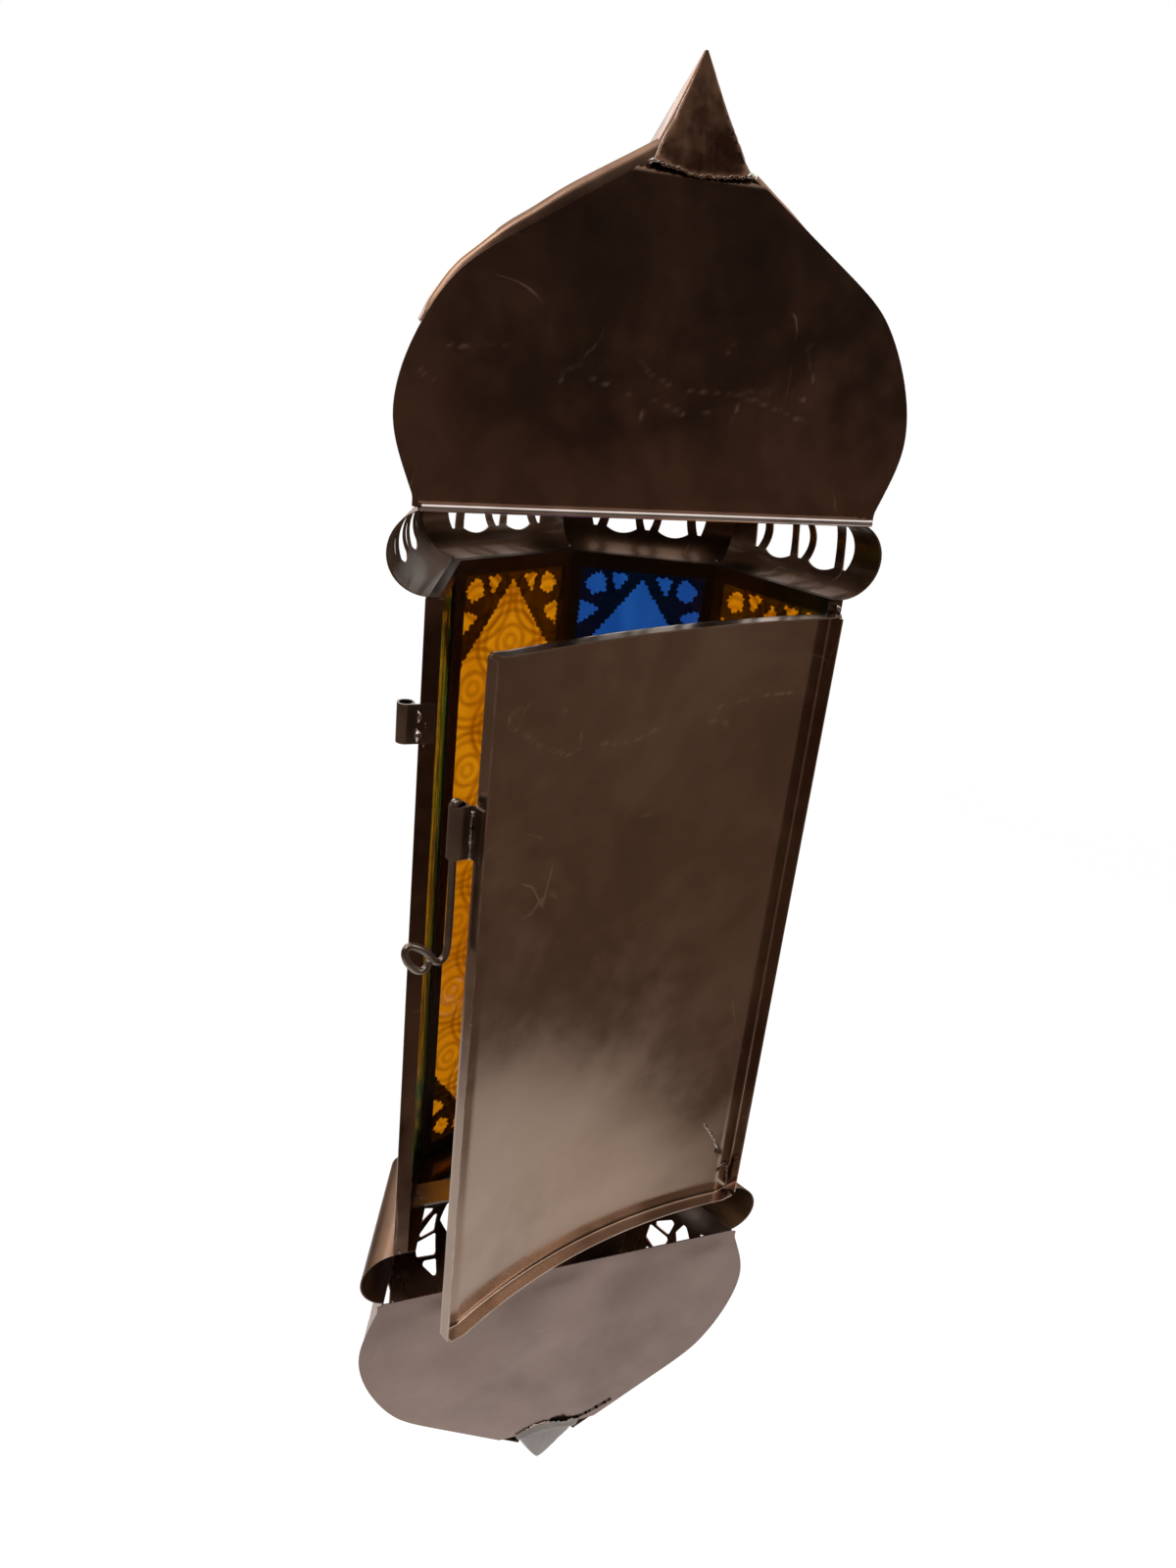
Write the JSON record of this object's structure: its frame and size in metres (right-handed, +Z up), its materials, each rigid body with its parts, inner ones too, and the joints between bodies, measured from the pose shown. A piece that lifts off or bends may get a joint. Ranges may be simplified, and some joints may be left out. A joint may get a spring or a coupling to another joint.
{
  "type": "wall lantern sconce",
  "caption": "Half-octagon wall lantern with onion domes, pierced cornices, coloured glass behind fretwork, and a hinged rear door with a sliding wire latch bolt.",
  "frame": {"origin": "on the centre line of the upper back plate's rear face, at the plate's widest height", "axes": "+Z up, +Y towards the wall and out of the rear door, +X towards the latch side, front facing -Y"},
  "size_m": [0.2362, 0.1829, 0.757],
  "materials": {
    "patinated_sheet": "glossy",
    "fret_sheet": "satin",
    "strip_metal": "satin",
    "finial_grey": "satin",
    "green_glass": "textured",
    "amber_glass": "embossed",
    "blue_glass": "smooth",
    "steel_wire": "worn",
    "steel_fittings": "satin",
    "brass": "satin",
    "holder_plastic": "gloss",
    "clear_glass": "clear"
  },
  "bodies": {
    "lantern": {"dome_back_plate": "patinated_sheet", "top_finial": "patinated_sheet", "bottom_back_plate": "patinated_sheet", "latch_jamb": "patinated_sheet", "hinge_jamb": "patinated_sheet", "latch_keeper": "patinated_sheet", "frame_knuckles": "patinated_sheet", "upper_rim": "patinated_sheet", "lower_rim": "patinated_sheet", "bottom_finial": "finial_grey", "dome_gore_1": "patinated_sheet", "bottom_gore_1": "patinated_sheet", "top_cornice_1": "patinated_sheet", "bottom_cornice_1": "patinated_sheet", "fret_panel_1": "fret_sheet", "dome_gore_2": "patinated_sheet", "bottom_gore_2": "patinated_sheet", "top_cornice_2": "patinated_sheet", "bottom_cornice_2": "patinated_sheet", "fret_panel_2": "fret_sheet", "dome_gore_3": "patinated_sheet", "bottom_gore_3": "patinated_sheet", "top_cornice_3": "patinated_sheet", "bottom_cornice_3": "patinated_sheet", "fret_panel_3": "fret_sheet", "dome_gore_4": "patinated_sheet", "bottom_gore_4": "patinated_sheet", "top_cornice_4": "patinated_sheet", "bottom_cornice_4": "patinated_sheet", "fret_panel_4": "fret_sheet", "glass_green": "green_glass", "glass_amber_inner": "amber_glass", "glass_amber_outer": "amber_glass", "glass_blue": "blue_glass", "corner_strip_1": "strip_metal", "corner_strip_2": "strip_metal", "corner_strip_3": "strip_metal", "hinge_pin": "steel_wire", "lamp_strap": "steel_fittings", "strap_rivets": "steel_fittings", "lamp_nipple": "steel_fittings", "nipple_nut_upper": "steel_fittings", "nipple_nut_lower": "steel_fittings", "holder_base": "holder_plastic", "holder_sleeve": "holder_plastic", "holder_shell": "brass", "holder_contact": "brass", "bulb_cap": "brass", "bulb_glass": "clear_glass"},
    "door": {"door_panel": "patinated_sheet", "door_knuckles": "patinated_sheet", "latch_sleeve": "patinated_sheet"},
    "bolt": {"latch_bolt": "steel_wire"}
  },
  "joints": [
    {"name": "door_swing", "type": "hinge", "parent": "lantern", "child": "door", "pos_m": [-0.0965, 0.0019, -0.248], "axis": [0, 0, 1], "range_deg": [-17, 103]},
    {"name": "bolt_lift", "type": "slide", "parent": "door", "child": "bolt", "axis": [0, 0, 1], "range_m": [0, 0.036]}
  ]
}
